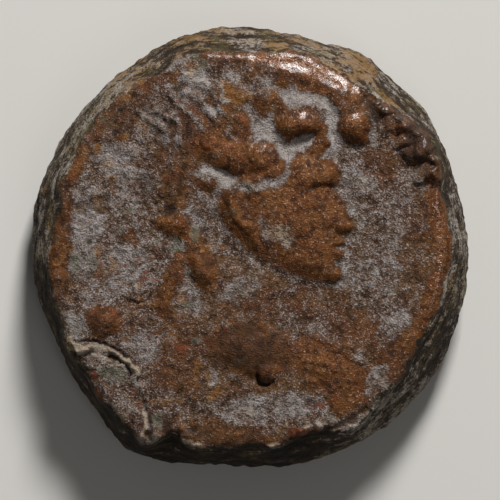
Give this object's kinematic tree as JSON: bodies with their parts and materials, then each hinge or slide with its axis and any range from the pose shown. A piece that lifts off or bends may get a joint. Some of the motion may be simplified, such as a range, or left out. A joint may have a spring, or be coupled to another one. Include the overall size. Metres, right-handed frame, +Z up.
{
  "type": "hellenistic bronze coin",
  "caption": "Thick round struck bronze coin lying face up: worn profile head and draped bust on sloping-sided flan, stub of casting channel, worn reverse below.",
  "frame": {"origin": "centre of the coin's outline, in the plane that its reverse rests on", "axes": "+Z up, out of the obverse; +Y towards the crown of the head on the obverse; +X the way the head faces"},
  "size_m": [0.019, 0.0192, 0.0051],
  "materials": {
    "bronze": "worn dark brown patina, satin on the high points, with a grey mineral film in the hollows"
  },
  "bodies": {
    "root": {"coin": "bronze"}
  },
  "joints": []
}
